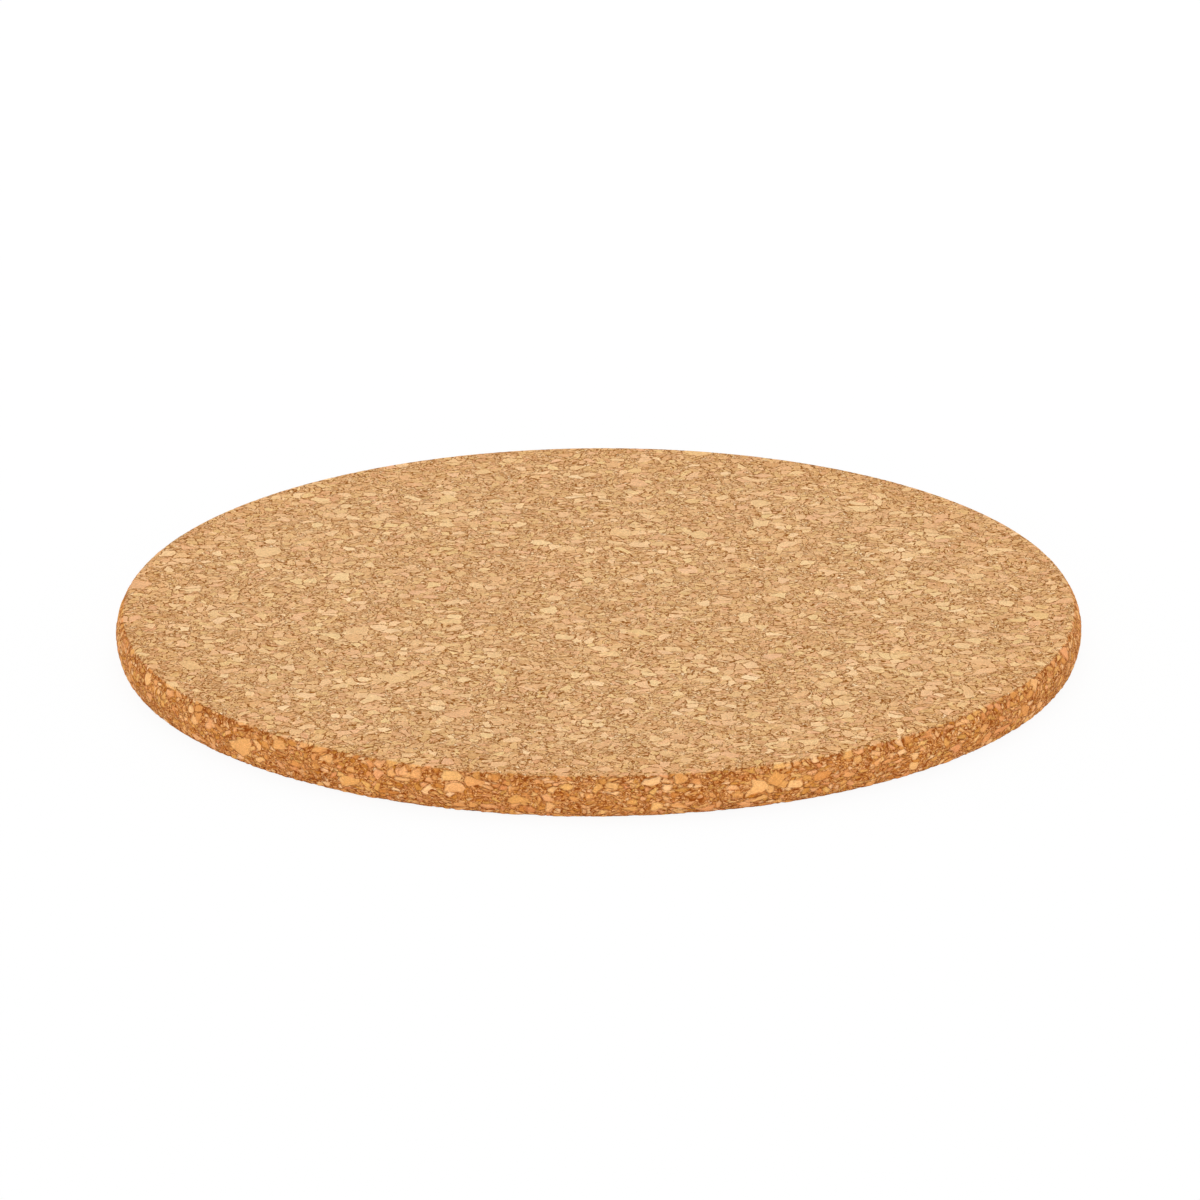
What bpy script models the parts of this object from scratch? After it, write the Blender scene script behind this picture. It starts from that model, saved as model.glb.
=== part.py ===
"""Cork pot coaster: one round disc of pressed cork granules with a bulged side and softened edges.

Metres, +Z up. The origin is the centre of the underside, so the coaster stands on z = 0.
"""

import math

import bpy

# Driving dimensions
DISC_DIAMETER = 0.190
DISC_THICKNESS = 0.008
WIDEST_HEIGHT = 0.0038
UPPER_SIDE_RADIUS = 0.0062
LOWER_SIDE_RADIUS = 0.0085
TOP_EDGE_RADIUS = 0.0006
BOTTOM_EDGE_RADIUS = 0.0006

# Fineness of the turned surface
TURN_STEPS = 160
SIDE_ARC_STEPS = 5
EDGE_ARC_STEPS = 3
AXIS_MERGE_DISTANCE = 0.00001

# Finish
CORK_COLOUR = (0.51, 0.28, 0.10, 1.0)
CORK_ROUGHNESS = 0.8
CORK_METALLIC = 0.0


def remove_old_objects():
    """Empty the scene, so that the coaster stands alone in it."""
    for old_object in list(bpy.data.objects):
        bpy.data.objects.remove(old_object, do_unlink=True)


def pressed_cork_material():
    """Matt, warm tan finish of sanded pressed cork."""
    material = bpy.data.materials.new("pressed_cork")
    material.use_nodes = True
    shader = material.node_tree.nodes["Principled BSDF"]
    shader.inputs["Base Color"].default_value = CORK_COLOUR
    shader.inputs["Roughness"].default_value = CORK_ROUGHNESS
    shader.inputs["Metallic"].default_value = CORK_METALLIC
    return material


def arc(centre_x, centre_z, radius, start_angle, end_angle, steps):
    """Points of a circular arc in the XZ plane, both ends included."""
    points = []
    for step in range(steps + 1):
        angle = start_angle + (end_angle - start_angle) * step / steps
        points.append((centre_x + radius * math.cos(angle), 0.0, centre_z + radius * math.sin(angle)))
    return points


def half_rim(side_radius, edge_radius, face_height, outward):
    """Half of the rim, from its flat face to its widest height.

    The side is an arc about a centre at the widest height. The edge is a smaller arc that touches the
    flat face and, from within, the side's arc. outward is 1 for the upper half and -1 for the lower half.
    """
    side_centre_x = DISC_DIAMETER / 2 - side_radius
    edge_centre_z = face_height - outward * edge_radius
    meeting_angle = math.asin((edge_centre_z - WIDEST_HEIGHT) / (side_radius - edge_radius))
    edge_centre_x = side_centre_x + (side_radius - edge_radius) * math.cos(meeting_angle)
    face_angle = outward * math.pi / 2
    edge = arc(edge_centre_x, edge_centre_z, edge_radius, face_angle, meeting_angle, EDGE_ARC_STEPS)
    side = arc(side_centre_x, WIDEST_HEIGHT, side_radius, meeting_angle, 0.0, SIDE_ARC_STEPS)
    return edge + side[1:]


def disc_half_section():
    """Half section of the disc: out along the top face, down round the rim and back along the underside."""
    upper = half_rim(UPPER_SIDE_RADIUS, TOP_EDGE_RADIUS, DISC_THICKNESS, 1)
    lower = half_rim(LOWER_SIDE_RADIUS, BOTTOM_EDGE_RADIUS, 0.0, -1)
    return [(0.0, 0.0, DISC_THICKNESS), *upper, *lower[-2::-1], (0.0, 0.0, 0.0)]


def turned_object(name, half_section, material, collection):
    """Turn a half section once round the Z axis into a closed solid."""
    mesh = bpy.data.meshes.new(name)
    edges = [(index, index + 1) for index in range(len(half_section) - 1)]
    mesh.from_pydata(half_section, edges, [])
    mesh.materials.append(material)
    turned = bpy.data.objects.new(name, mesh)
    collection.objects.link(turned)

    turn = turned.modifiers.new("turn", "SCREW")
    turn.axis = "Z"
    turn.angle = 2 * math.pi
    turn.steps = TURN_STEPS
    turn.render_steps = TURN_STEPS
    turn.use_merge_vertices = True
    turn.merge_threshold = AXIS_MERGE_DISTANCE
    turn.use_smooth_shade = True

    # The large flat faces lead the shading, so that it rounds off only along the edges
    shading = turned.modifiers.new("flat_face_shading", "WEIGHTED_NORMAL")
    shading.mode = "FACE_AREA"
    return turned


def main():
    remove_old_objects()
    coaster = bpy.data.collections.new("cork_pot_coaster")
    bpy.context.scene.collection.children.link(coaster)
    turned_object("cork_disc", disc_half_section(), pressed_cork_material(), coaster)


main()
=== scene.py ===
"""Cork pot coaster: dresses the disc as pressed cork granules and stands it in a plain white studio."""

import math
from typing import NamedTuple

import bpy
import numpy as np
from bpy.props import FloatProperty, FloatVectorProperty, PointerProperty
from bpy.types import NodeSocket, Operator, Panel, PropertyGroup
from mathutils import Matrix, Vector


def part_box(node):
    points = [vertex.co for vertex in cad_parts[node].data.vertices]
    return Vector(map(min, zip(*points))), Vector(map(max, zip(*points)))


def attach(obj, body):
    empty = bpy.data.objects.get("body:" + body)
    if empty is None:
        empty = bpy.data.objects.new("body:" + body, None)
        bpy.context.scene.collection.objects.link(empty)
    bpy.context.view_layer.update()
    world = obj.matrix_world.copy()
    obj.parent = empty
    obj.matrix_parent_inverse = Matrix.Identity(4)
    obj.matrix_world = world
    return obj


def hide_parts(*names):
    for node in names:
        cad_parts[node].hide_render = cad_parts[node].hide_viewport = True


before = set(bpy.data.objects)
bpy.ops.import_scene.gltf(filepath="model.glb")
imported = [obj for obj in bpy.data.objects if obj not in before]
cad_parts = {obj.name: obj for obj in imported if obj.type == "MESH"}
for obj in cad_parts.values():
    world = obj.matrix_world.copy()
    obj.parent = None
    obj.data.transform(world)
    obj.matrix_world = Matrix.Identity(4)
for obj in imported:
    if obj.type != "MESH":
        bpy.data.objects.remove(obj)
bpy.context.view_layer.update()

bl_info = {
    "name": "Cork pot coaster",
    "version": (1, 0, 0),
    "blender": (4, 5, 0),
    "location": "3D View > Sidebar > Coaster",
    "description": "Presses a round pot coaster from cork granules and lights it in a plain white studio",
    "category": "Mesh",
}

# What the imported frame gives
DISC_LOW, DISC_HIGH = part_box("cork_disc")
DISC_DIAMETER = DISC_HIGH.x - DISC_LOW.x
DISC_THICKNESS = DISC_HIGH.z - DISC_LOW.z

# Fineness of the disc's surface
FACE_CELLS = 100
RIM_ROWS = 38
MARGIN_ROWS = 4
EDGE_MARGIN = 0.001
RING_STEP = 0.0008

# The two islands of the disc's own map: the top face with the rim laid out round it, and the underside
MAP_NAME = "OFBake"
OUTER_ISLAND_CENTRE = (0.365, 0.365)
OUTER_ISLAND_RADIUS = 0.358
UNDER_ISLAND_CENTRE = (0.778, 0.778)
UNDER_ISLAND_RADIUS = 0.214

MILLIMETRE = 0.001
MILLIMETRES_PER_METRE = 1000.0
LEVEL = (1.0, 1.0, 0.0)

# Inputs of the Mix node for two numbers and for two colours, and its colour result
MIX_FIRST_NUMBER, MIX_SECOND_NUMBER = 2, 3
MIX_FIRST_COLOUR, MIX_SECOND_COLOUR = 6, 7
MIX_COLOUR_RESULT = 2

# Width and reach of the noises that bend the granules, in millimetres
BENDS = ((7.0, 4.2), (0.9, 0.30), (0.25, 0.14))

# The crumbling border between the sanded faces and the cut side, in millimetres
BORDER_OFFSET = 0.35
BORDER_SOFTNESS = 0.15
CRUMBLE_REACH = 0.7
CRUMBLE_NOISE = {"width": 1.1, "detail": 2.0}

# Painted shade: the faces take on some of the side's darker colour towards the rim: start and end, in
# metres from the rim
EDGE_SHADE_START = 0.021
EDGE_SHADE_END = 0.001
EDGE_SHADE_SHARE = 0.20

# Noises of the cork, with their width in millimetres
BROKEN_NOISE = {"width": 0.7, "detail": 2.0}
MOTTLE_NOISE = {"width": 0.30, "detail": 2.0}
PATCH_NOISE = {"width": 9.0, "detail": 2.0}
PIT_NOISE = {"width": 0.75, "detail": 3.0}
HOLLOW_NOISE = {"width": 1.5, "detail": 3.0}

# Relief of the side: the width over which a granule falls to the gap, and how deep the gap's parts are
RELIEF_SOFTNESS = 0.5
HOLLOW_STEP = (0.30, 0.60, 1.0, 0.35)

# Places of the brown, tan, pale and cream colours among the tones from 0 to 1
TONE_PLACES = (0.05, 0.50, 0.80, 1.00)

# Crumbs between the granules. A pair holds the values on the faces and on the side
CRUMB_GAP = 0.06
CRUMB_SHIFT = (17.0, 23.0, 29.0)
CRUMB_SPREAD = (0.85, 0.8)
CRUMB_TONE = (0.65, 0.52)
# Painted shade in the crevice round each crumb: its strength, and its step over the crumb's inset
CRUMB_CREVICE_SHADE = (0.90, 0.80)
CRUMB_CREVICE_SHADE_STEP = (-0.03, 0.10, 1.0, 0.0)
CRUMB_TILT = (0.2, 0.3)
CRUMB_HEIGHT = (-0.06, -0.18)

# Edges of the granules, in millimetres: a broken dark line of painted shade, a paler rim that is a painted
# highlight on the faces, and a darker brim that is painted shade on the side
GRANULE_SOFTNESS = 0.13
GRANULE_ROUNDING = (0.20, 0.40)
GRANULE_TILT = (0.15, 0.55)
GRANULE_HUE_SPAN = 0.032
LINE_WIDTH = 0.14
LINE_CORE = 0.3
LINE_SHARE = (0.86, 0.45)
LINE_HEIGHT = (-0.05, -0.03)
BROKEN_STEP = (0.46, 0.57)
RIM_START, RIM_END = 0.08, 0.30
RIM_HIGHLIGHT = (1.18, 1.0)
BRIM_SHADE_STEP = (0.0, 0.30, 0.35, 0.0)

# Shades within and across the granules, and painted shade in pits in the side, more of it near its top
# edge
MOTTLE_STEP = (0.25, 0.75, 0.80, 1.20)
PATCH_STEP = (0.3, 0.7, 0.98, 1.02)
PIT_SHADE_STEP = (0.40, 0.49, 0.95, 0.0)
UPPER_STEP = (0.70, 0.97)
UPPER_PIT_SHADE = -0.05

# Gloss of the cork
ROUGHNESS_STEP = (-0.1, 0.0, 0.95, 0.75)
SPECULAR_LEVEL = 0.03

# Studio, with the width and the place of each lamp
PURE_WHITE = (1.0, 1.0, 1.0, 1.0)
TABLE_WHITE = (0.9, 0.9, 0.9, 1.0)
TABLE_GLOW_SHARE = 0.92
TABLE_WIDTH = 40.0
TABLE_GAP = 0.0002
SENSOR_WIDTH = 36.0
LAMP_AIM = (0.0, 0.0, 0.0)
OVERHEAD_LAMP = (1.6, (0.0, 1.0, 1.4))
FRONT_LAMP = (0.8, (0.0, -2.0, 0.45))
LEFT_LAMP = (0.6, (-1.6, 0.1, 0.32))
RIGHT_LAMP = (0.6, (1.6, 0.1, 0.32))


class GranuleKind(NamedTuple):
    """One size of granule. A pair holds the values on the sanded faces and on the cut side.

    Size and share name settings of the grain, and shown is the part of that share that is laid.
    Gap is in millimetres. Spread is how far the granules' tones go from their middle tone.
    Cover is how little shows through. Shift moves the pattern, in millimetres.
    """

    size: str
    share: str
    shown: tuple
    gap: tuple
    tone: tuple
    spread: tuple
    cover: tuple
    shift: tuple


# From the smallest, which lies lowest, to the largest
GRANULE_KINDS = (
    GranuleKind(
        size="small_size",
        share="small_share",
        shown=(1.0, 0.75),
        gap=(0.06, 0.14),
        tone=(0.42, 0.49),
        spread=(0.62, 1.25),
        cover=(0.68, 0.80),
        shift=(5.0, 47.0, 11.0),
    ),
    GranuleKind(
        size="middle_size",
        share="middle_share",
        shown=(1.0, 1.0),
        gap=(0.2, 0.40),
        tone=(0.48, 0.54),
        spread=(0.42, 1.15),
        cover=(0.74, 0.80),
        shift=(31.0, 7.0, 3.0),
    ),
    GranuleKind(
        size="coarse_size",
        share="coarse_share",
        shown=(1.0, 1.25),
        gap=(1.0, 1.2),
        tone=(0.62, 0.61),
        spread=(0.55, 0.75),
        cover=(0.82, 0.80),
        shift=(0.0, 0.0, 0.0),
    ),
    GranuleKind(
        size="large_size",
        share="large_share",
        shown=(0.25, 0.7),
        gap=(12.0, 5.0),
        tone=(0.61, 0.60),
        spread=(0.4, 0.55),
        cover=(0.84, 0.80),
        shift=(13.0, 3.0, 41.0),
    ),
)


class CorkDiscSizes(PropertyGroup):
    """Sizes of the disc."""

    diameter: FloatProperty(
        name="Diameter",
        description="Width of the disc across its rim",
        default=DISC_DIAMETER,
        subtype="DISTANCE",
        unit="LENGTH",
    )
    thickness: FloatProperty(
        name="Thickness",
        description="Height of the disc from the table to its top face",
        default=DISC_THICKNESS,
        subtype="DISTANCE",
        unit="LENGTH",
    )
    widest_height: FloatProperty(
        name="Widest height",
        description="Height at which the bulged side is widest",
        default=0.0038,
        subtype="DISTANCE",
        unit="LENGTH",
    )
    upper_side_radius: FloatProperty(
        name="Upper side radius",
        description="Radius of the side's arc above its widest height",
        default=0.0062,
        subtype="DISTANCE",
        unit="LENGTH",
    )
    lower_side_radius: FloatProperty(
        name="Lower side radius",
        description="Radius of the side's arc below its widest height",
        default=0.0085,
        subtype="DISTANCE",
        unit="LENGTH",
    )
    top_edge_radius: FloatProperty(
        name="Top edge radius",
        description="Rounding between the top face and the side",
        default=0.0006,
        subtype="DISTANCE",
        unit="LENGTH",
    )
    bottom_edge_radius: FloatProperty(
        name="Bottom edge radius",
        description="Rounding between the side and the underside",
        default=0.0006,
        subtype="DISTANCE",
        unit="LENGTH",
    )


class CorkGrain(PropertyGroup):
    """Sizes of the cork granules, how many of them show and how deep the gaps between them are."""

    large_size: FloatProperty(
        name="Large granules",
        description="Spacing of the few largest granules",
        default=0.0040,
        subtype="DISTANCE",
        unit="LENGTH",
    )
    coarse_size: FloatProperty(
        name="Coarse granules",
        description="Spacing of the coarse granules",
        default=0.0024,
        subtype="DISTANCE",
        unit="LENGTH",
    )
    middle_size: FloatProperty(
        name="Middle granules",
        description="Spacing of the middle granules",
        default=0.0017,
        subtype="DISTANCE",
        unit="LENGTH",
    )
    small_size: FloatProperty(
        name="Small granules",
        description="Spacing of the small granules",
        default=0.0011,
        subtype="DISTANCE",
        unit="LENGTH",
    )
    crumb_size: FloatProperty(
        name="Crumbs",
        description="Spacing of the crumbs between the granules",
        default=0.00055,
        subtype="DISTANCE",
        unit="LENGTH",
    )
    large_share: FloatProperty(
        name="Large share",
        description="Share of the large places that hold a granule",
        default=0.10,
        subtype="FACTOR",
        min=0.01,
        max=1.0,
    )
    coarse_share: FloatProperty(
        name="Coarse share",
        description="Share of the coarse places that hold a granule",
        default=0.31,
        subtype="FACTOR",
        min=0.01,
        max=1.0,
    )
    middle_share: FloatProperty(
        name="Middle share",
        description="Share of the middle places that hold a granule",
        default=0.45,
        subtype="FACTOR",
        min=0.01,
        max=1.0,
    )
    small_share: FloatProperty(
        name="Small share",
        description="Share of the small places that hold a granule",
        default=0.85,
        subtype="FACTOR",
        min=0.01,
        max=1.0,
    )
    press_ratio: FloatProperty(
        name="Press ratio",
        description="How many times flatter the press leaves the granules",
        default=1.7,
        subtype="FACTOR",
        min=1.0,
        max=3.0,
    )
    side_gap_depth: FloatProperty(
        name="Side gap depth",
        description="Depth of the gaps between granules on the side",
        default=0.0002,
        subtype="DISTANCE",
        unit="LENGTH",
        precision=5,
    )


class CorkColours(PropertyGroup):
    """Colours of the cork, on its sanded faces and on its cut side."""

    # The crevice colours are painted shade in the gaps between the granules
    face_crevice_shade: FloatVectorProperty(
        name="Face crevices",
        description="The dark lines between the granules of the sanded faces",
        default=(0.27, 0.086, 0.006),
        subtype="COLOR",
        size=3,
    )
    face_brown: FloatVectorProperty(
        name="Face brown",
        description="The darkest granules of the sanded faces",
        default=(0.46, 0.210, 0.059),
        subtype="COLOR",
        size=3,
    )
    face_tan: FloatVectorProperty(
        name="Face tan",
        description="The common granules of the sanded faces",
        default=(0.716, 0.427, 0.202),
        subtype="COLOR",
        size=3,
    )
    face_pale: FloatVectorProperty(
        name="Face pale",
        description="The paler granules of the sanded faces",
        default=(0.835, 0.570, 0.308),
        subtype="COLOR",
        size=3,
    )
    face_cream: FloatVectorProperty(
        name="Face cream",
        description="The few palest granules of the sanded faces",
        default=(0.95, 0.73, 0.46),
        subtype="COLOR",
        size=3,
    )
    # Painted shade in the gaps between the granules of the side
    side_crevice_shade: FloatVectorProperty(
        name="Side crevices",
        description="The dark gaps between the granules of the cut side",
        default=(0.265, 0.060, 0.006),
        subtype="COLOR",
        size=3,
    )
    side_brown: FloatVectorProperty(
        name="Side brown",
        description="The darkest granules of the cut side",
        default=(0.53, 0.188, 0.022),
        subtype="COLOR",
        size=3,
    )
    side_tan: FloatVectorProperty(
        name="Side tan",
        description="The common granules of the cut side",
        default=(0.71, 0.320, 0.098),
        subtype="COLOR",
        size=3,
    )
    side_pale: FloatVectorProperty(
        name="Side pale",
        description="The paler granules of the cut side",
        default=(0.835, 0.440, 0.178),
        subtype="COLOR",
        size=3,
    )
    side_cream: FloatVectorProperty(
        name="Side cream",
        description="The few palest granules of the cut side",
        default=(0.955, 0.580, 0.288),
        subtype="COLOR",
        size=3,
    )


class StudioSettings(PropertyGroup):
    """Camera and light of the studio."""

    camera_elevation: FloatProperty(
        name="Camera elevation",
        description="Angle of the view above the table",
        default=math.radians(20.116),
        subtype="ANGLE",
        unit="ROTATION",
    )
    camera_roll: FloatProperty(
        name="Camera roll",
        description="Turn of the camera about its own axis",
        default=math.radians(-0.276),
        subtype="ANGLE",
        unit="ROTATION",
    )
    camera_distance: FloatProperty(
        name="Camera distance",
        description="Distance of the camera from the middle of the underside, along its view",
        default=1.28313,
        subtype="DISTANCE",
        unit="LENGTH",
    )
    camera_lift: FloatProperty(
        name="Camera lift",
        description="How far the camera is raised, square to its view",
        default=0.0076,
        subtype="DISTANCE",
        unit="LENGTH",
    )
    camera_aside: FloatProperty(
        name="Camera aside",
        description="How far the camera stands to the right",
        default=0.00028,
        subtype="DISTANCE",
        unit="LENGTH",
    )
    focal_length: FloatProperty(
        name="Focal length",
        description="Focal length of the lens on the camera's 36 mm sensor",
        default=195.0,
        subtype="DISTANCE_CAMERA",
        unit="CAMERA",
    )
    sky_strength: FloatProperty(
        name="Sky strength",
        description="Strength of the even white light from all round",
        default=0.70,
        min=0.0,
    )
    overhead_power: FloatProperty(
        name="Overhead lamp",
        description="Power of the wide lamp above the table",
        default=13.0,
        subtype="POWER",
        unit="POWER",
    )
    front_power: FloatProperty(
        name="Front lamp",
        description="Power of the wide lamp in front of the table",
        default=17.0,
        subtype="POWER",
        unit="POWER",
    )
    side_power: FloatProperty(
        name="Side lamps",
        description="Power of each of the two lamps beside the table",
        default=5.5,
        subtype="POWER",
        unit="POWER",
    )


class NodeBench:
    """Adds nodes to one tree. Each method but node gives back the socket or sockets of its result."""

    def __init__(self, tree):
        self.tree = tree

    def node(self, kind, feeds, **settings):
        """Add a node, set its options, and feed each named input with a socket or with a plain value."""
        made = self.tree.nodes.new(kind)
        for name, value in settings.items():
            setattr(made, name, value)
        for key, value in feeds.items():
            if isinstance(value, NodeSocket):
                self.tree.links.new(value, made.inputs[key])
            else:
                made.inputs[key].default_value = value
        return made

    def math(self, operation, *values):
        return self.node("ShaderNodeMath", dict(enumerate(values)), operation=operation).outputs[0]

    def vector(self, operation, *values):
        return self.node("ShaderNodeVectorMath", dict(enumerate(values)), operation=operation).outputs[0]

    def length(self, value):
        return self.node("ShaderNodeVectorMath", {0: value}, operation="LENGTH").outputs["Value"]

    def dot(self, first, second):
        feeds = {0: first, 1: second}
        return self.node("ShaderNodeVectorMath", feeds, operation="DOT_PRODUCT").outputs["Value"]

    def scaled(self, value, scale):
        return self.node("ShaderNodeVectorMath", {0: value, "Scale": scale}, operation="SCALE").outputs[0]

    def parts(self, value):
        return self.node("ShaderNodeSeparateXYZ", {0: value}).outputs

    def rise(self, value, low, high, start=0.0, end=1.0):
        """A smooth step: start up to low, end from high on."""
        feeds = {"Value": value, "From Min": low, "From Max": high, "To Min": start, "To Max": end}
        return self.node("ShaderNodeMapRange", feeds, interpolation_type="SMOOTHSTEP").outputs[0]

    def noise(self, place, width, detail=1.0):
        feeds = {"Vector": place, "Scale": 1.0 / width, "Detail": detail}
        return self.node("ShaderNodeTexNoise", feeds).outputs

    def cells(self, place, width, feature):
        feeds = {"Vector": place, "Scale": 1.0 / width}
        return self.node("ShaderNodeTexVoronoi", feeds, feature=feature).outputs

    def blend(self, share, first, second):
        """Mix two colours."""
        feeds = {0: share, MIX_FIRST_COLOUR: first, MIX_SECOND_COLOUR: second}
        return self.node("ShaderNodeMix", feeds, data_type="RGBA").outputs[MIX_COLOUR_RESULT]

    def mix(self, share, first, second):
        """Mix two numbers."""
        feeds = {0: share, MIX_FIRST_NUMBER: first, MIX_SECOND_NUMBER: second}
        return self.node("ShaderNodeMix", feeds, data_type="FLOAT").outputs[0]

    def bright(self, colour, value, hue=0.5):
        """Multiply a colour's brightness by a value, and turn its hue by what lies over or under 0.5."""
        feeds = {"Hue": hue, "Value": value, "Color": colour}
        return self.node("ShaderNodeHueSaturation", feeds).outputs[0]

    def ramp(self, value, places, colours):
        """A colour ramp with the colours at their places."""
        made = self.node("ShaderNodeValToRGB", {0: value})
        elements = made.color_ramp.elements
        while len(elements) < len(places):
            elements.new(1.0)
        for element, place, colour in zip(elements, places, colours):
            element.position = place
            element.color = (*colour, 1.0)
        return made.outputs[0]


class GranuleLayer:
    """One size of granule: a share of the cells round scattered seeds, each drawn in from its border.

    Cells are the points nearest to one seed. A cell is kept if its random number is under the share.
    The inset is the distance in from the cell's border, in millimetres, less a gap times that number.
    Tone and warmth are half the sum and half the difference of two random numbers, so most are near 0.5.
    The tilt rises across the cell along a random direction, through 0, as a share of the cell's width.
    """

    def __init__(self, bench, place, size, share, gap, shift):
        self.bench = bench
        width = size / MILLIMETRE
        moved = bench.vector("ADD", place, shift)
        nearest = bench.cells(moved, width, "F1")
        pick, first, second = bench.parts(nearest["Color"])
        self.kept = bench.math("LESS_THAN", pick, share)
        border = bench.cells(moved, width, "DISTANCE_TO_EDGE")["Distance"]
        from_border = bench.math("MULTIPLY", border, width)
        self.inset = bench.math("SUBTRACT", from_border, bench.math("MULTIPLY", pick, gap))
        self.tone = bench.math("MULTIPLY", bench.math("ADD", first, second), 0.5)
        self.warmth = bench.math("MULTIPLY_ADD", bench.math("SUBTRACT", first, second), 0.5, 0.5)
        away = bench.vector("SUBTRACT", moved, nearest["Position"])
        lean = bench.vector("SUBTRACT", nearest["Color"], (0.5, 0.5, 0.5))
        self.tilt = bench.math("DIVIDE", bench.dot(away, lean), width)

    def tone_about(self, middle, spread):
        """The tones, spread about a middle one."""
        away = self.bench.math("SUBTRACT", self.tone, 0.5)
        return self.bench.math("MULTIPLY_ADD", away, spread, middle)

    def cover(self, softness):
        """1 on the layer's granules and 0 between them."""
        return self.bench.math("MULTIPLY", self.kept, self.bench.rise(self.inset, 0.0, softness))

    def outline(self, width):
        """1 along the border of the layer's granules and 0 elsewhere."""
        distance = self.bench.math("ABSOLUTE", self.inset)
        near = self.bench.rise(distance, LINE_CORE * width, width, 1.0, 0.0)
        return self.bench.math("MULTIPLY", self.kept, near)


def pressed_place(bench, position, press_ratio):
    """Coordinates in millimetres, stretched upwards so that granules come out flat, and bent by noise."""
    scale = (MILLIMETRES_PER_METRE, MILLIMETRES_PER_METRE, MILLIMETRES_PER_METRE * press_ratio)
    place = bench.vector("MULTIPLY", position, scale)
    bent = place
    for width, reach in BENDS:
        swirl = bench.noise(place, width)["Color"]
        bent = bench.vector("MULTIPLY_ADD", swirl, (reach, reach, reach), bent)
    return bent


def granule_layers(bench, place, side, grain):
    """One layer for each kind of granule, with its share and its gap on the faces and on the side."""
    layers = []
    for kind in GRANULE_KINDS:
        share = getattr(grain, kind.share)
        shown = bench.mix(side, *(share * part for part in kind.shown))
        gap = bench.mix(side, *kind.gap)
        layers.append(GranuleLayer(bench, place, getattr(grain, kind.size), shown, gap, kind.shift))
    return layers


def side_share(bench, position, sizes):
    """0 on the sanded faces and 1 on the cut side, with a crumbling border along the edges."""
    place = bench.vector("MULTIPLY", position, (MILLIMETRES_PER_METRE,) * 3)
    ragged = bench.noise(place, **CRUMBLE_NOISE)["Fac"]
    from_axis = bench.length(bench.vector("MULTIPLY", place, LEVEL))
    reach = bench.math("MULTIPLY_ADD", ragged, CRUMBLE_REACH, from_axis)
    border = top_face_radius(sizes) / MILLIMETRE + BORDER_OFFSET + CRUMBLE_REACH / 2
    return bench.rise(reach, border - BORDER_SOFTNESS, border + BORDER_SOFTNESS)


def painted_edge_shade(bench, position, sizes):
    """Share of the side's colour that the faces take on towards the rim, as painted shade."""
    rim = sizes.diameter / 2
    from_axis = bench.length(bench.vector("MULTIPLY", position, LEVEL))
    return bench.rise(from_axis, rim - EDGE_SHADE_START, rim - EDGE_SHADE_END, 0.0, EDGE_SHADE_SHARE)


def round_face_grid(cells):
    """Share of the radius and angle of each point of a round face, on a square grid.

    A grid point (s, t), both from -1 to 1, lies on the square ring max(|s|, |t|). That ring becomes the
    circle with the same share of the radius, and equal steps along its sides become equal angles.
    """
    steps = np.linspace(-1.0, 1.0, cells + 1)
    across, along = np.meshgrid(steps, steps, indexing="ij")
    share = np.maximum(np.abs(across), np.abs(along))
    sideways = np.abs(across) >= np.abs(along)
    longer = np.where(sideways, across, along)
    shorter = np.where(sideways, along, across)
    slope = np.divide(shorter, longer, out=np.zeros_like(longer), where=longer != 0)
    near_x = math.pi / 4 * slope
    angle = np.where(sideways, near_x, math.pi / 2 - near_x) + np.where(longer < 0, math.pi, 0.0)
    return share, angle % (2 * math.pi)


def top_face_radius(sizes):
    """Radius of the flat part of the top: half the diameter less what the upper half of the rim takes."""
    top, upper = sizes.top_edge_radius, sizes.upper_side_radius
    rise = (sizes.thickness - top - sizes.widest_height) / (upper - top)
    return sizes.diameter / 2 - upper + (upper - top) * math.sqrt(1.0 - rise * rise)


def rim_profile(sizes):
    """Path length, radius and height of the fine rows, from the top face's margin to the underside's.

    Between the two flat margins the section is a chain of four arcs that touch: top edge, upper side,
    lower side and bottom edge. Its heading turns from straight out to straight in, evenly along each arc.
    Each arc adds to the radius its own radius times the rise of the heading's sine, and takes from the
    height its own radius times the fall of the heading's cosine.
    """
    top, upper = sizes.top_edge_radius, sizes.upper_side_radius
    bottom, lower = sizes.bottom_edge_radius, sizes.lower_side_radius
    upper_turn = math.asin((sizes.thickness - top - sizes.widest_height) / (upper - top))
    lower_turn = math.asin((sizes.widest_height - bottom) / (lower - bottom))
    quarter = math.pi / 2
    bends = np.array([0.0, quarter - upper_turn, quarter, quarter + lower_turn, math.pi])
    arcs = np.array([top, upper, lower, bottom])
    lengths = np.concatenate([[0.0], np.cumsum(arcs * np.diff(bends))])
    margin = np.linspace(-EDGE_MARGIN, 0.0, MARGIN_ROWS, endpoint=False)
    round_path = np.linspace(0.0, lengths[-1], RIM_ROWS + 1)
    path = np.concatenate([margin, round_path, lengths[-1] - margin[::-1]])
    heading = np.interp(path, lengths, bends)
    turned = np.clip(heading[:, None], bends[:-1], bends[1:])
    outward = ((np.sin(turned) - np.sin(bends[:-1])) * arcs).sum(axis=1)
    along_flat = np.minimum(path, 0.0) - np.maximum(path - lengths[-1], 0.0)
    height = sizes.thickness - ((np.cos(bends[:-1]) - np.cos(turned)) * arcs).sum(axis=1)
    return path, top_face_radius(sizes) + outward + along_flat, height


def polar(radius, angle):
    """Flat x and y of polar coordinates, side by side."""
    return np.stack([radius * np.cos(angle), radius * np.sin(angle)], axis=-1)


def ring_angles(count):
    """Equal angles once round."""
    return np.arange(count) * (2 * math.pi / count)


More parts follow.
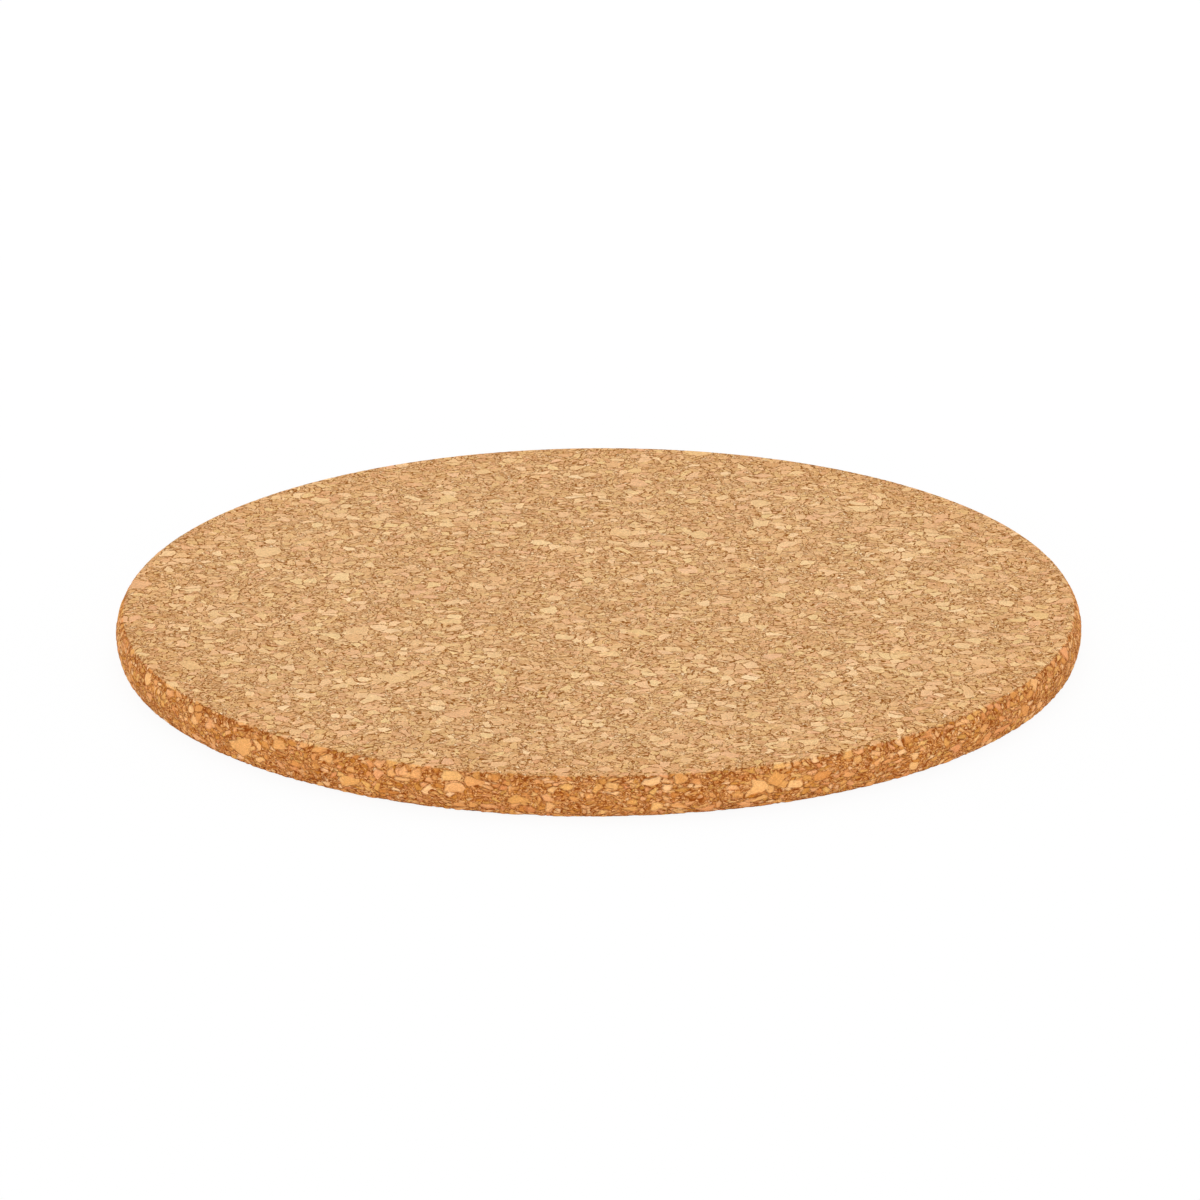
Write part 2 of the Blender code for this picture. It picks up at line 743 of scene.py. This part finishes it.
def doubling_faces(inner, outer):
    """Three triangles for each step of the inner ring, which meets two steps of the outer ring."""
    after, first, middle, last = np.roll(inner, -1), outer[0::2], outer[1::2], np.roll(outer[0::2], -1)
    fans = [[inner, first, middle], [inner, middle, after], [after, middle, last]]
    return np.concatenate([np.stack(fan, axis=-1) for fan in fans])


def row_faces(rows):
    """Quads between each row of points round the disc and the next one further along the path."""
    after = np.roll(rows, -1, axis=1)
    return np.stack([rows[:-1], rows[1:], after[1:], after[:-1]], axis=-1).reshape(-1, 4)


def smooth_disc_mesh(sizes):
    """Closed disc: a grid on each face, two rings that double its points, and fine rows round the rim.

    Each place is a radius, an angle and a height. Each also has a reach, its distance from the middle of
    the top along the surface, which lays out the map of the top and the rim.
    """
    share, grid_angle = round_face_grid(FACE_CELLS)
    ids = np.arange(share.size).reshape(share.shape)
    on_border = ids[share == 1.0]
    grid_ring = on_border[np.argsort(grid_angle.ravel()[on_border])]
    share, grid_angle = share.ravel(), grid_angle.ravel()
    path, row_radius, row_height = rim_profile(sizes)
    ring_count = grid_ring.size * 2
    row_count = ring_count * 2

    # Places in the order top grid, top ring, rows, lower ring, lower grid
    counts = np.array([share.size, ring_count, path.size * row_count, ring_count, share.size])
    starts = np.concatenate([[0], np.cumsum(counts)])
    radius = np.concatenate(
        [
            share * (row_radius[0] - 2 * RING_STEP),
            np.full(ring_count, row_radius[0] - RING_STEP),
            np.repeat(row_radius, row_count),
            np.full(ring_count, row_radius[-1] - RING_STEP),
            share * (row_radius[-1] - 2 * RING_STEP),
        ]
    )
    ring_angle, row_angle = ring_angles(ring_count), np.tile(ring_angles(row_count), path.size)
    angle = np.concatenate([grid_angle, ring_angle, row_angle, ring_angle, grid_angle])
    upper_count = counts[0] + ring_count
    height = np.concatenate(
        [
            np.full(upper_count, row_height[0]),
            np.repeat(row_height, row_count),
            np.full(upper_count, row_height[-1]),
        ]
    )
    places = np.column_stack([polar(radius, angle), height])

    # Faces, first those above the underside's border and then those below it
    top_ring = starts[1] + np.arange(ring_count)
    rows = starts[2] + np.arange(path.size * row_count).reshape(path.size, row_count)
    low_ring = starts[3] + np.arange(ring_count)
    low_border = starts[4] + grid_ring
    grid_faces = np.stack([ids[:-1, :-1], ids[1:, :-1], ids[1:, 1:], ids[:-1, 1:]], axis=-1).reshape(-1, 4)
    seam = MARGIN_ROWS + RIM_ROWS
    outer_faces = [
        grid_faces,
        doubling_faces(grid_ring, top_ring),
        doubling_faces(top_ring, rows[0]),
        row_faces(rows[: seam + 1]),
    ]
    under_faces = [
        row_faces(rows[seam:]),
        doubling_faces(low_ring, rows[-1])[:, ::-1],
        doubling_faces(low_border, low_ring)[:, ::-1],
        starts[4] + grid_faces[:, ::-1],
    ]

    # Map: the reach from the middle of the top as one disc, and the underside as a smaller one
    reach = radius.copy()
    reach[rows] = row_radius[MARGIN_ROWS] + path[:, None]
    edge_reach, edge_radius = reach[rows[seam, 0]], radius[rows[seam, 0]]
    outer_map = polar(reach * OUTER_ISLAND_RADIUS / edge_reach, angle) + OUTER_ISLAND_CENTRE
    under_map = polar(radius * UNDER_ISLAND_RADIUS / edge_radius, -angle) + UNDER_ISLAND_CENTRE
    outer_corners = np.concatenate([faces.ravel() for faces in outer_faces])
    under_corners = np.concatenate([faces.ravel() for faces in under_faces])
    corner_map = np.vstack([outer_map[outer_corners], under_map[under_corners]])
    return places, outer_faces + under_faces, corner_map


def filled_mesh(name, places, face_groups, corner_map):
    """Put whole arrays of places, faces and map corners into a new mesh."""
    corners = np.concatenate([faces.ravel() for faces in face_groups])
    sizes = np.concatenate([np.full(len(faces), faces.shape[1]) for faces in face_groups])
    mesh = bpy.data.meshes.new(name)
    mesh.vertices.add(len(places))
    mesh.vertices.foreach_set("co", places.astype(np.float32).ravel())
    mesh.loops.add(corners.size)
    mesh.loops.foreach_set("vertex_index", corners.astype(np.int32))
    mesh.polygons.add(sizes.size)
    mesh.polygons.foreach_set("loop_start", (np.cumsum(sizes) - sizes).astype(np.int32))
    mesh.update(calc_edges=True)
    mesh.shade_smooth()
    own_map = mesh.uv_layers.new(name=MAP_NAME)
    own_map.uv.foreach_set("vector", corner_map.astype(np.float32).ravel())
    if mesh.validate():
        raise RuntimeError(f"{name}: the surface has faulty faces")
    return mesh


def granule_relief(sizes, grain):
    """Node group that sinks the side between its granules.

    The place moves in along the normal by the depth times what no granule covers, never outwards.
    The smallest granules lie level with the crumbs.
    """
    tree = bpy.data.node_groups.new("granule_relief", "GeometryNodeTree")
    tree.interface.new_socket("Geometry", in_out="INPUT", socket_type="NodeSocketGeometry")
    tree.interface.new_socket("Geometry", in_out="OUTPUT", socket_type="NodeSocketGeometry")
    bench = NodeBench(tree)
    position = bench.node("GeometryNodeInputPosition", {}).outputs[0]
    normal = bench.node("GeometryNodeInputNormal", {}).outputs[0]
    place = pressed_place(bench, position, grain.press_ratio)
    side = side_share(bench, position, sizes)
    bare = 1.0
    for layer in granule_layers(bench, place, side, grain)[1:]:
        bare = bench.math("MULTIPLY", bare, bench.math("SUBTRACT", 1.0, layer.cover(RELIEF_SOFTNESS)))
    hollow = bench.rise(bench.noise(place, **HOLLOW_NOISE)["Fac"], *HOLLOW_STEP)
    sunk = bench.math("MULTIPLY", bench.math("MULTIPLY", bare, hollow), side)
    offset = bench.scaled(normal, bench.math("MULTIPLY", sunk, -grain.side_gap_depth))
    enter = bench.node("NodeGroupInput", {}).outputs[0]
    moved = bench.node("GeometryNodeSetPosition", {"Geometry": enter, "Offset": offset}).outputs[0]
    bench.node("NodeGroupOutput", {0: moved})
    return tree


class CorkFinish:
    """Builds up the cork's colour and its height, in millimetres, from crumbs to the largest granules."""

    def __init__(self, bench, sizes, grain, colours):
        self.bench = bench
        self.colours = colours
        self.position = bench.node("ShaderNodeTexCoord", {}).outputs["Object"]
        self.place = pressed_place(bench, self.position, grain.press_ratio)
        self.side = side_share(bench, self.position, sizes)
        # Where the side's colours are laid: on the side, and on the faces towards the rim as painted shade
        self.side_colour_and_edge_shade = bench.math("MAXIMUM", self.side, painted_edge_shade(bench, self.position, sizes))
        # The crevices' colour is painted shade, laid in the gaps, the pits and the side's granule brims
        crevices = ((*colours.face_crevice_shade, 1.0), (*colours.side_crevice_shade, 1.0))
        self.crevice_shade_colour = bench.blend(self.side, *crevices)
        broken = bench.rise(bench.noise(self.place, **BROKEN_NOISE)["Fac"], *BROKEN_STEP)
        self.line_share = bench.math("MULTIPLY", broken, self.between(LINE_SHARE))
        self.mottle = bench.rise(bench.noise(self.place, **MOTTLE_NOISE)["Fac"], *MOTTLE_STEP)
        self.rounding = self.between(GRANULE_ROUNDING)
        self.bare = 1.0
        self.colour = None
        self.height = None

    def between(self, pair):
        """The first number on the sanded faces and the second on the cut side."""
        return self.bench.mix(self.side, *pair)

    def toned(self, tone):
        """Colour of a tone from 0, dark, to 1, cream, on the sanded faces and on the cut side."""
        colours = self.colours
        on_face = (colours.face_brown, colours.face_tan, colours.face_pale, colours.face_cream)
        on_side = (colours.side_brown, colours.side_tan, colours.side_pale, colours.side_cream)
        face = self.bench.ramp(tone, TONE_PLACES, on_face)
        return self.bench.blend(self.side_colour_and_edge_shade, face, self.bench.ramp(tone, TONE_PLACES, on_side))

    def darken(self, share):
        """Lay the crevices' colour, which is painted shade, over a share of the cork."""
        self.colour = self.bench.blend(share, self.colour, self.crevice_shade_colour)

    def spread_crumbs(self, size):
        """Fill the whole surface with crumbs, each with its own tone and painted shade in a crevice round
        it.
        """
        bench = self.bench
        crumbs = GranuleLayer(bench, self.place, size, 1.0, CRUMB_GAP, CRUMB_SHIFT)
        tone = crumbs.tone_about(self.between(CRUMB_TONE), self.between(CRUMB_SPREAD))
        self.colour = self.toned(tone)
        # Painted shade in the crevice round each crumb
        crevice = bench.rise(crumbs.inset, *CRUMB_CREVICE_SHADE_STEP)
        self.darken(bench.math("MULTIPLY", crevice, self.between(CRUMB_CREVICE_SHADE)))
        tilt, level = self.between(CRUMB_TILT), self.between(CRUMB_HEIGHT)
        self.height = bench.math("MULTIPLY_ADD", crumbs.tilt, tilt, level)

    def lay_granules(self, kind, layer):
        """Lay one kind of granule over what is there, which shows through a little."""
        bench = self.bench
        cover = layer.cover(GRANULE_SOFTNESS)
        # The broken dark line is painted shade along the granule's border, and it also sinks that border
        # in the bump
        line = bench.math("MULTIPLY", layer.outline(LINE_WIDTH), self.line_share)

        # Each granule's own colour and mottle, with a painted highlight on its rim and painted shade on
        # its brim
        tone = layer.tone_about(self.between(kind.tone), self.between(kind.spread))
        colour = self.toned(tone)
        # A painted highlight on the rim just inside the granule's border, on the faces
        rim = bench.rise(layer.inset, RIM_START, RIM_END, self.between(RIM_HIGHLIGHT), 1.0)
        hue = bench.math("MULTIPLY_ADD", layer.warmth, GRANULE_HUE_SPAN, 0.5 - GRANULE_HUE_SPAN / 2)
        colour = bench.bright(colour, bench.math("MULTIPLY", self.mottle, rim), hue)
        # Painted shade on the side: the crevices' colour laid round the granule's border
        brim_shade = bench.math("MULTIPLY", bench.rise(layer.inset, *BRIM_SHADE_STEP), self.side)
        colour = bench.blend(brim_shade, colour, self.crevice_shade_colour)

        shown = bench.math("MULTIPLY", cover, self.between(kind.cover))
        self.colour = bench.blend(shown, self.colour, colour)
        self.darken(line)
        self.bare = bench.math("MULTIPLY", bench.math("SUBTRACT", 1.0, cover), self.bare)
        crown = bench.math("MULTIPLY", layer.tilt, self.between(GRANULE_TILT))
        height = bench.mix(layer.cover(self.rounding), self.height, crown)
        self.height = bench.math("MULTIPLY_ADD", line, self.between(LINE_HEIGHT), height)

    def vary_patches(self):
        """Make wide patches slightly darker and paler."""
        patch = self.bench.noise(self.place, **PATCH_NOISE)["Fac"]
        self.colour = self.bench.bright(self.colour, self.bench.rise(patch, *PATCH_STEP))

    def paint_pit_shade(self, thickness):
        """Paint shade into pits between the granules of the side, more of it under its top edge."""
        bench = self.bench
        height_share = bench.math("DIVIDE", bench.parts(self.position)[2], thickness)
        noise = bench.noise(self.place, **PIT_NOISE)["Fac"]
        # More painted shade in the pits under the side's top edge
        pit = bench.math("MULTIPLY_ADD", bench.rise(height_share, *UPPER_STEP), UPPER_PIT_SHADE, noise)
        open_side = bench.math("MULTIPLY", self.side, self.bare)
        self.darken(bench.math("MULTIPLY", bench.rise(pit, *PIT_SHADE_STEP), open_side))


def cork_material(sizes, grain, colours):
    """Pressed cork: crumbs, four sizes of granule laid over them with broken dark borders of painted
    shade, and painted shade in pits.
    """
    material = bpy.data.materials.new("pressed_cork")
    material.use_nodes = True
    tree = material.node_tree
    bench = NodeBench(tree)
    cork = CorkFinish(bench, sizes, grain, colours)
    cork.spread_crumbs(grain.crumb_size)
    for kind, layer in zip(GRANULE_KINDS, granule_layers(bench, cork.place, cork.side, grain)):
        cork.lay_granules(kind, layer)
    cork.vary_patches()
    cork.paint_pit_shade(sizes.thickness)

    shader = tree.nodes["Principled BSDF"]
    shader.inputs["Specular IOR Level"].default_value = SPECULAR_LEVEL
    feeds = {"Height": cork.height, "Distance": MILLIMETRE, "Strength": 1.0}
    bump = bench.node("ShaderNodeBump", feeds).outputs[0]
    tree.links.new(cork.colour, shader.inputs["Base Color"])
    tree.links.new(bench.rise(cork.height, *ROUGHNESS_STEP), shader.inputs["Roughness"])
    tree.links.new(bump, shader.inputs["Normal"])
    return material


class CORK_OT_press_disc(Operator):
    """Press the granulated cork disc"""

    bl_idname = "cork_coaster.press_disc"
    bl_label = "Press cork disc"
    bl_options = {"REGISTER", "UNDO"}

    def execute(self, context):
        scene = context.scene
        sizes, grain = scene.cork_disc_sizes, scene.cork_grain
        mesh = filled_mesh("smooth_cork_disc", *smooth_disc_mesh(sizes))
        disc = bpy.data.objects.new("granulated_cork_disc", mesh)
        scene.collection.objects.link(disc)
        relief = disc.modifiers.new("granule_relief", "NODES")
        relief.node_group = granule_relief(sizes, grain)
        pressed = bpy.data.meshes.new_from_object(disc.evaluated_get(context.evaluated_depsgraph_get()))
        disc.modifiers.clear()
        disc.data = pressed
        pressed.name = disc.name
        pressed.materials.append(cork_material(sizes, grain, scene.cork_colours))
        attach(disc, "root")
        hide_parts("cork_disc")
        return {"FINISHED"}


def seen_directly(bench):
    """1 for rays from the camera, a reflection or a see-through surface, 0 for the light's own rays."""
    path = bench.node("ShaderNodeLightPath", {}).outputs
    seen = bench.math("MAXIMUM", path["Is Camera Ray"], path["Is Glossy Ray"])
    return bench.math("MAXIMUM", seen, path["Is Transmission Ray"])


def white_table_material():
    """White to the eye, with enough of a lit surface in it to keep the coaster's shadow."""
    material = bpy.data.materials.new("white_table")
    material.use_nodes = True
    tree = material.node_tree
    tree.nodes.remove(tree.nodes["Principled BSDF"])
    bench = NodeBench(tree)
    lit = bench.node("ShaderNodeBsdfDiffuse", {"Color": TABLE_WHITE}).outputs[0]
    glow = bench.node("ShaderNodeEmission", {"Color": PURE_WHITE, "Strength": 1.0}).outputs[0]
    share = bench.math("MULTIPLY", seen_directly(bench), TABLE_GLOW_SHARE)
    mixed = bench.node("ShaderNodeMixShader", {0: share, 1: lit, 2: glow}).outputs[0]
    tree.links.new(mixed, tree.nodes["Material Output"].inputs["Surface"])
    return material


def table_mesh():
    """A square of the table's width, just under the coaster."""
    reach = TABLE_WIDTH / 2
    across, along = np.meshgrid([-reach, reach], [-reach, reach], indexing="ij")
    places = np.stack([across, along, np.full_like(across, -TABLE_GAP)], axis=-1).reshape(-1, 3)
    mesh = bpy.data.meshes.new("white_table")
    mesh.from_pydata(places.tolist(), [], [(0, 2, 3, 1)])
    mesh.materials.append(white_table_material())
    return mesh


def white_sky(strength):
    """White wherever it is seen, and of the given strength as light."""
    world = bpy.data.worlds.new("white_sky")
    world.use_nodes = True
    tree = world.node_tree
    bench = NodeBench(tree)
    background = tree.nodes["Background"]
    background.inputs["Color"].default_value = PURE_WHITE
    tree.links.new(bench.mix(seen_directly(bench), strength, 1.0), background.inputs["Strength"])
    return world


def soft_lamp(name, power, width, place):
    """A square area lamp that looks from its place at the coaster."""
    light = bpy.data.lights.new(name, "AREA")
    light.shape = "SQUARE"
    light.size = width
    light.energy = power
    lamp = bpy.data.objects.new(name, light)
    view = Vector(LAMP_AIM) - Vector(place)
    turn = view.to_track_quat("-Z", "Y").to_matrix().to_4x4()
    lamp.matrix_world = Matrix.Translation(place) @ turn
    return lamp


def product_camera(studio):
    """A camera in front of the coaster, which looks down at it by the elevation angle."""
    data = bpy.data.cameras.new("product_camera")
    data.lens = studio.focal_length
    data.sensor_width = SENSOR_WIDTH
    camera = bpy.data.objects.new("product_camera", data)
    tilt = Matrix.Rotation(math.pi / 2 - studio.camera_elevation, 4, "X")
    roll = Matrix.Rotation(studio.camera_roll, 4, "Z")
    eye = tilt @ Vector((studio.camera_aside, studio.camera_lift, studio.camera_distance))
    camera.matrix_world = Matrix.Translation(eye) @ tilt @ roll
    return camera


class CORK_OT_set_studio(Operator):
    """Set up the table, the light and the camera"""

    bl_idname = "cork_coaster.set_studio"
    bl_label = "Set up studio"
    bl_options = {"REGISTER", "UNDO"}

    def execute(self, context):
        scene = context.scene
        studio = scene.cork_studio
        table = bpy.data.objects.new("white_table", table_mesh())
        overhead = soft_lamp("overhead_lamp", studio.overhead_power, *OVERHEAD_LAMP)
        front = soft_lamp("front_lamp", studio.front_power, *FRONT_LAMP)
        left = soft_lamp("left_lamp", studio.side_power, *LEFT_LAMP)
        right = soft_lamp("right_lamp", studio.side_power, *RIGHT_LAMP)
        camera = product_camera(studio)
        for made in (table, overhead, front, left, right, camera):
            scene.collection.objects.link(made)
        scene.world = white_sky(studio.sky_strength)
        scene.camera = camera
        scene.view_settings.view_transform = "Standard"
        return {"FINISHED"}


class CORK_PT_coaster(Panel):
    """Sidebar panel with the coaster's sizes, colours and studio"""

    bl_idname = "CORK_PT_coaster"
    bl_label = "Cork pot coaster"
    bl_space_type = "VIEW_3D"
    bl_region_type = "UI"
    bl_category = "Coaster"

    def draw(self, context):
        scene = context.scene
        steps = (
            ((scene.cork_disc_sizes, scene.cork_grain, scene.cork_colours), CORK_OT_press_disc),
            ((scene.cork_studio,), CORK_OT_set_studio),
        )
        for groups, operator in steps:
            column = self.layout.box().column()
            for group in groups:
                for name in type(group).__annotations__:
                    column.prop(group, name)
            column.operator(operator.bl_idname)


SETTINGS = {
    "cork_disc_sizes": CorkDiscSizes,
    "cork_grain": CorkGrain,
    "cork_colours": CorkColours,
    "cork_studio": StudioSettings,
}
CLASSES = (*SETTINGS.values(), CORK_OT_press_disc, CORK_OT_set_studio, CORK_PT_coaster)


def register():
    for each in CLASSES:
        bpy.utils.register_class(each)
    for name, group in SETTINGS.items():
        setattr(bpy.types.Scene, name, PointerProperty(type=group))


def unregister():
    for name in SETTINGS:
        delattr(bpy.types.Scene, name)
    for each in reversed(CLASSES):
        bpy.utils.unregister_class(each)


def main():
    register()
    bpy.ops.cork_coaster.press_disc()
    bpy.ops.cork_coaster.set_studio()


if __name__ == "__main__":
    main()
